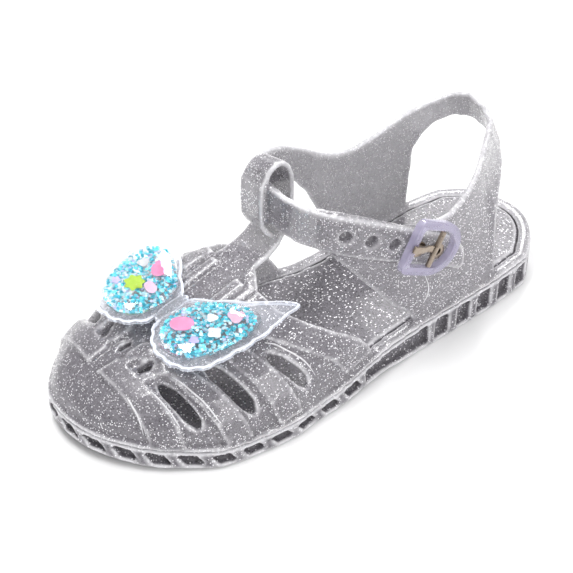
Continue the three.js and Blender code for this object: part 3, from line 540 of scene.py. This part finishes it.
class CreaseOperator(bpy.types.Operator):
    """Lays the fine moulded creases on the vamp and down the outer quarter"""

    bl_idname = "sandal.creases"
    bl_label = "Creases"

    def execute(self, context):
        upper = bpy.data.objects.get("upper_moulding")
        if upper is None:
            self.report({"ERROR"}, "The creases lie on the upper: mould it first")
            return {"CANCELLED"}
        rows = crease_rows(upper)
        if min(len(row) for row in rows) < 2:
            self.report({"ERROR"}, "A crease misses the upper")
            return {"CANCELLED"}
        piece = bpy.data.objects.new("creases", crease_curve(rows))
        context.collection.objects.link(piece)
        alone(piece)
        bpy.ops.object.convert(target="MESH")
        piece = context.active_object
        bpy.ops.object.mode_set(mode="EDIT")
        bpy.ops.mesh.select_all(action="SELECT")
        bpy.ops.mesh.normals_make_consistent(inside=False)
        bpy.ops.object.mode_set(mode="OBJECT")
        bpy.ops.object.shade_smooth()
        # Painted highlight: the crease beads take the upper's glitter plastic made 1.5 times lighter
        plastic = glitter_plastic("crease plastic", depth=1.5, opacity=0.8, gloss=0.8, coarseness=1)
        dress(piece, plastic, None)
        return {"FINISHED"}


# Roundings in millimetres: the frame's, then each metal part's with its node and its piece
FRAME_ROUNDING = 0.55
METAL_PARTS = (
    ("buckle_pin", "cross_pin", 0.25),
    ("buckle_prong", "prong", 0.22),
    ("eyelet_rear", "eyelet_ring_rear", 0.12),
    ("eyelet_front", "eyelet_ring_front", 0.12),
)
FRAME_SMOOTH_ANGLE = 40
METAL_SMOOTH_ANGLE = 45


def round_edges(piece, width, segments, smooth_angle):
    finish_modifier(piece, "BEVEL", width=width * MM, segments=segments, limit_method="ANGLE")
    bpy.ops.object.shade_smooth_by_angle(angle=math.radians(smooth_angle))


class BuckleOperator(bpy.types.Operator):
    """Rounds the clear buckle frame and the metal parts of the fastening"""

    bl_idname = "sandal.buckle"
    bl_label = "Buckle and eyelets"

    def execute(self, context):
        colours = context.scene.sandal_colours
        tint = tuple(colours.buckle)
        clear = clear_plastic("buckle plastic", tint, opacity=0.62, clarity=0.3, roughness=0.12)
        metal = worn_metal("plated metal", tuple(colours.metal))
        ring = moulded_copy("buckle_frame", "buckle_ring")
        round_edges(ring, FRAME_ROUNDING, 3, FRAME_SMOOTH_ANGLE)
        dress(ring, clear, "buckle_frame")
        for node, name, rounding in METAL_PARTS:
            piece = moulded_copy(node, name)
            round_edges(piece, rounding, 2, METAL_SMOOTH_ANGLE)
            dress(piece, metal, node)
        return {"FINISHED"}


# A filled pouch spreads on its film to this share of its welded size, and lies lower
POUCH_SPREAD = 1.13
POUCH_SLUMP = 0.8
POUCH_STEP = 0.45 * MM
POUCH_SOFTNESS = 12
POUCH_TINT = (0.93, 0.95, 1)
FILM_STEP = 0.3 * MM
FILM_SOFTNESS = 4
# A face of a pouch looks down when its normal's height is under this
LOOKS_DOWN = -0.9


def mean_place(vertices):
    return sum((v.co for v in vertices), Vector()) / len(vertices)


def spread_pouch(pouch):
    vertices = pouch.data.vertices
    low = min(v.co.z for v in vertices)
    middle = mean_place(vertices)
    alone(pouch)
    bpy.ops.object.mode_set(mode="EDIT")
    bpy.ops.mesh.select_all(action="SELECT")
    bpy.context.scene.tool_settings.transform_pivot_point = "CURSOR"
    bpy.context.scene.cursor.location = (middle.x, middle.y, low)
    bpy.ops.transform.resize(value=(POUCH_SPREAD, POUCH_SPREAD, POUCH_SLUMP))
    bpy.ops.object.mode_set(mode="OBJECT")


def butterfly_axes():
    """The wings' own frame, read from the CAD pouches: middle, forward, out to the side, and up."""
    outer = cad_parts["wing_pouch_outer"].data
    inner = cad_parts["wing_pouch_inner"].data
    outer_middle = mean_place(outer.vertices)
    inner_middle = mean_place(inner.vertices)
    out = (outer_middle - inner_middle).normalized()
    up = Vector((0, 0, 0))
    for face in outer.polygons:
        if face.normal.z < LOOKS_DOWN:
            up -= face.normal * face.area
    up.normalize()
    forward = out.cross(up).normalized()
    return (outer_middle + inner_middle) / 2, forward, out, up


class ButterflyOperator(bpy.types.Operator):
    """Rounds the butterfly's clear film and its welded rim, and domes the pouches"""

    bl_idname = "sandal.butterfly"
    bl_label = "Butterfly film"

    def execute(self, context):
        tint = tuple(context.scene.sandal_colours.film)
        film = clear_plastic("welded film", tint, opacity=0.14, roughness=0.08, rim=0.7)
        piece = moulded_copy("butterfly", "butterfly_film")
        soften(piece, FILM_STEP, FILM_SOFTNESS)
        bpy.ops.object.shade_smooth()
        dress(piece, film, "butterfly")
        dome = clear_plastic("pouch film", POUCH_TINT, opacity=1, clarity=1, roughness=0.03)
        for side in SIDES:
            node = f"wing_pouch_{side}"
            pouch = moulded_copy(node, f"pouch_{side}")
            spread_pouch(pouch)
            soften(pouch, POUCH_STEP, POUCH_SOFTNESS)
            bpy.ops.object.shade_smooth()
            dress(pouch, dome, node)
        return {"FINISHED"}


# Sequins, as shares of the pouch or the sequin, and leans in radians
SEQUIN_SEED = 7
SEQUIN_CORNERS = 6
SEQUINS_REACH = 1.02
SEQUINS_FILL = 0.5
SEQUINS_FLOOR = 0.15 * MM
SEQUINS_LEAST_ROOM = 0.3 * MM
SEQUIN_LEAN = 0.28
SEQUIN_WIDTHS = (0.75, 1.15)
SEQUIN_SHINE = 0.3
# Sequin foil runs from deep teal through cyan to blue; the near-white stop at 0.88 is a painted glint on
# sequins caught by the light
SEQUIN_COLOURS_AND_GLINTS = (
    (0, (0.02, 0.42, 0.58)),
    (0.2, (0.04, 0.6, 0.76)),
    (0.45, (0.16, 0.78, 0.9)),
    (0.65, (0.5, 0.9, 0.98)),
    (0.88, (0.9, 0.98, 1)),
    (1, (0.55, 0.6, 0.95)),
)
# Larger cut shapes: colour, then side, millimetres ahead and outwards of the pouch's middle,
# radius in millimetres and number of lobes
CONFETTI = {
    "pink": ((0.95, 0.32, 0.56), [("outer", 4.5, -5.6, 3.1, 2), ("inner", -6.2, 1.2, 3, 2)]),
    "pale_pink": ((0.95, 0.62, 0.78), [("outer", -8.2, 3.6, 2.4, 3), ("inner", 1, 5, 2, 2)]),
    "lime": ((0.5, 0.74, 0.05), [("inner", 3, 0.2, 2.9, 7)]),
    "white": ((0.95, 0.95, 0.97), [
        ("outer", 0.5, 3.6, 2, 4), ("outer", -3, -1, 1.6, 3), ("inner", -4.5, -4, 1.8, 3),
    ]),
    "lilac": ((0.62, 0.55, 0.9), [("outer", 6.5, 1.5, 1.4, 5), ("inner", 6, -4.5, 1.3, 5)]),
}
CONFETTI_CORNERS = 30
CONFETTI_THICKNESS = 0.12 * MM
CONFETTI_LEAN = 0.08
CONFETTI_HEIGHT = 0.56
CONFETTI_SHINE = 0.15
CONFETTI_DEEP = 0.82
LOBE_DEPTH = 0.16
# Points of a pouch's base lie this near its floor, and are kept to this many decimals of a metre
BASE_WITHIN = 0.1 * MM
BASE_DECIMALS = 5


def add_disc(mesh, centre, axes, radius, thickness, corners, lobes=0):
    """Adds one thin closed disc, with lobes round its edge if asked, to a bmesh."""
    forward, out, up = axes
    lobe_depth = LOBE_DEPTH if lobes else 0
    rings = []
    for height in (0, thickness):
        ring = []
        for k in range(corners):
            angle = 2 * math.pi * k / corners
            reach = radius * (1 + lobe_depth * math.cos(lobes * angle))
            place = centre + forward * reach * math.cos(angle) + out * reach * math.sin(angle)
            ring.append(mesh.verts.new(place + up * height))
        rings.append(ring)
    bottom, top = rings
    mesh.faces.new(list(reversed(bottom)))
    mesh.faces.new(top)
    for k in range(corners):
        following = (k + 1) % corners
        mesh.faces.new((bottom[k], bottom[following], top[following], top[k]))


def pouch_outline(side, axes):
    """Outline of a pouch's flat base in the wing's own frame, its centre, and its floor and roof."""
    middle, forward, out, up = axes
    points = [v.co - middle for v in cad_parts[f"wing_pouch_{side}"].data.vertices]
    floor = min(p.dot(up) for p in points)
    roof = max(p.dot(up) for p in points)
    low = [p for p in points if p.dot(up) < floor + BASE_WITHIN]
    base = sorted({(round(p.dot(forward), BASE_DECIMALS), round(p.dot(out), BASE_DECIMALS)) for p in low})
    centre = (sum(p[0] for p in base) / len(base), sum(p[1] for p in base) / len(base))
    base.sort(key=lambda p: math.atan2(p[1] - centre[1], p[0] - centre[0]))
    return base, centre, floor, roof


def place_in_pouch(dice, outline, centre):
    """A random place in a pouch, and how far it lies from the centre towards the outline."""
    corner = dice.randrange(len(outline))
    ends = (outline[corner], outline[(corner + 1) % len(outline)])
    edge = between(ends, dice.random())
    reach = math.sqrt(dice.random()) * SEQUINS_REACH
    return between((centre, edge), reach), reach


def turned_axes(dice, forward, out, up, lean):
    turn = Matrix.Rotation(dice.uniform(0, 2 * math.pi), 3, up)
    tip = Matrix.Rotation(dice.gauss(0, lean), 3, forward) @ Matrix.Rotation(dice.gauss(0, lean), 3, out)
    return [tip @ turn @ v for v in (forward, out, up)]


class SequinOperator(bpy.types.Operator):
    """Fills each wing's pouch with loose sequins and a few larger cut shapes"""

    bl_idname = "sandal.sequins"
    bl_label = "Sequins and confetti"

    def execute(self, context):
        axes = butterfly_axes()
        dice = random.Random(SEQUIN_SEED)
        foil = sequin_foil("sequin foil", SEQUIN_COLOURS_AND_GLINTS, SEQUIN_SHINE)
        for side in SIDES:
            self.add_piece(self.loose_sequins(side, axes, dice), f"sequins_{side}", foil)
        for name, (colour, rows) in CONFETTI.items():
            deep = tuple(c * CONFETTI_DEEP for c in colour)
            foil = sequin_foil(f"{name} foil", ((0, deep), (1, colour)), CONFETTI_SHINE)
            self.add_piece(self.cut_shapes(rows, axes, dice), f"confetti_{name}", foil)
        return {"FINISHED"}

    def loose_sequins(self, side, axes, dice):
        sizes = bpy.context.scene.sandal_sizes
        middle, forward, out, up = axes
        outline, centre, floor, roof = pouch_outline(side, axes)
        mesh = bmesh.new()
        for _ in range(sizes.sequins):
            (ahead, aside), reach = place_in_pouch(dice, outline, centre)
            room = (roof - floor) * SEQUINS_FILL * max(0, 1 - reach ** 3)
            height = floor + SEQUINS_FLOOR + dice.random() * max(room, SEQUINS_LEAST_ROOM)
            spot = middle + forward * ahead + out * aside + up * height
            flat = turned_axes(dice, forward, out, up, SEQUIN_LEAN)
            radius = sizes.sequin_width / 2 * dice.uniform(*SEQUIN_WIDTHS)
            add_disc(mesh, spot, flat, radius, sizes.sequin_thickness, SEQUIN_CORNERS)
        return mesh

    def cut_shapes(self, rows, axes, dice):
        middle, forward, out, up = axes
        mesh = bmesh.new()
        for side, ahead, aside, radius, lobes in rows:
            _, centre, floor, roof = pouch_outline(side, axes)
            spot = middle + forward * (centre[0] + ahead * MM) + out * (centre[1] + aside * MM)
            spot += up * (floor + (roof - floor) * CONFETTI_HEIGHT)
            flat = turned_axes(dice, forward, out, up, CONFETTI_LEAN)
            add_disc(mesh, spot, flat, radius * MM, CONFETTI_THICKNESS, CONFETTI_CORNERS, lobes)
        return mesh

    def add_piece(self, mesh, name, material):
        data = bpy.data.meshes.new(name)
        mesh.normal_update()
        mesh.to_mesh(data)
        mesh.free()
        piece = bpy.data.objects.new(name, data)
        bpy.context.collection.objects.link(piece)
        dress(piece, material, None)


# Camera in millimetres and degrees, as seen by the photograph
CAMERA_PLACE = (233.2, 300.8, 336.0)
CAMERA_AIM = (9.6, 0.8, 24.0)
CAMERA_ROLL = 0.67
CAMERA_LENS = 100
CAMERA_NEAREST = 0.01
# Lights: name, place and two sides in metres, and power in watts
LIGHTS = (
    ("overhead", (0.14, -0.12, 0.8), 0.6, 0.12, 5),
    ("side", (-0.1, 0.9, 0.6), 0.5, 0.5, 4),
    ("back", (-0.6, -0.6, 0.75), 0.3, 0.3, 5),
)
SKY_STRENGTH = 0.68
FLOOR_SIZE = 6
FLOOR_DROP = 0.02 * MM


class StageOperator(bpy.types.Operator):
    """Sets the pale floor, the soft lights and the camera"""

    bl_idname = "sandal.stage"
    bl_label = "Stage"

    def execute(self, context):
        self.add_floor(context)
        self.add_world(context.scene)
        for row in LIGHTS:
            self.add_light(context, *row)
        self.add_camera(context.scene)
        return {"FINISHED"}

    def add_floor(self, context):
        bpy.ops.object.select_all(action="DESELECT")
        bpy.ops.mesh.primitive_plane_add(size=FLOOR_SIZE, location=(0, 0, -FLOOR_DROP))
        floor = context.active_object
        floor.name = "floor"
        material, shader = new_material("pale floor")
        set_inputs(shader, {"Base Color": (0.92, 0.92, 0.92, 1), "Roughness": 0.6})
        floor.data.materials.append(material)

    def add_world(self, scene):
        world = bpy.data.worlds.new("studio")
        scene.world = world
        world.use_nodes = True
        set_inputs(world.node_tree.nodes["Background"], {"Color": (1, 1, 1, 1), "Strength": SKY_STRENGTH})
        scene.view_settings.view_transform = "Standard"

    def add_light(self, context, name, place, width, depth, power):
        light = bpy.data.lights.new(name, "AREA")
        light.shape = "RECTANGLE"
        light.size = width
        light.size_y = depth
        light.energy = power
        lamp = bpy.data.objects.new(name, light)
        lamp.location = place
        lamp.rotation_euler = (-Vector(place)).to_track_quat("-Z", "Y").to_euler()
        context.collection.objects.link(lamp)

    def add_camera(self, scene):
        data = bpy.data.cameras.new("camera")
        data.lens = CAMERA_LENS
        data.clip_start = CAMERA_NEAREST
        camera = bpy.data.objects.new("camera", data)
        scene.collection.objects.link(camera)
        place = Vector(CAMERA_PLACE) * MM
        aim = Vector(CAMERA_AIM) * MM
        look = (aim - place).to_track_quat("-Z", "Y").to_matrix().to_4x4()
        roll = Matrix.Rotation(math.radians(CAMERA_ROLL), 4, "Z")
        camera.matrix_world = Matrix.Translation(place) @ look @ roll
        scene.camera = camera


STEPS = (
    SoleOperator,
    UpperOperator,
    CreaseOperator,
    BuckleOperator,
    ButterflyOperator,
    SequinOperator,
    StageOperator,
)


class SandalPanel(bpy.types.Panel):
    bl_idname = "VIEW3D_PT_sandal"
    bl_label = "Jelly sandal"
    bl_space_type = "VIEW_3D"
    bl_region_type = "UI"
    bl_category = "Sandal"

    def draw(self, context):
        for settings in (context.scene.sandal_sizes, context.scene.sandal_colours):
            for key in settings.__annotations__:
                self.layout.prop(settings, key)
        for step in STEPS:
            self.layout.operator(step.bl_idname)


CLASSES = (SandalSizes, SandalColours, *STEPS, SandalPanel)


def register():
    for item in CLASSES:
        bpy.utils.register_class(item)
    bpy.types.Scene.sandal_sizes = bpy.props.PointerProperty(type=SandalSizes)
    bpy.types.Scene.sandal_colours = bpy.props.PointerProperty(type=SandalColours)


def unregister():
    del bpy.types.Scene.sandal_colours
    del bpy.types.Scene.sandal_sizes
    for item in reversed(CLASSES):
        bpy.utils.unregister_class(item)


def main():
    register()
    bpy.ops.sandal.sole()
    bpy.ops.sandal.upper()
    bpy.ops.sandal.creases()
    bpy.ops.sandal.buckle()
    bpy.ops.sandal.butterfly()
    bpy.ops.sandal.sequins()
    bpy.ops.sandal.stage()


if __name__ == "__main__":
    main()
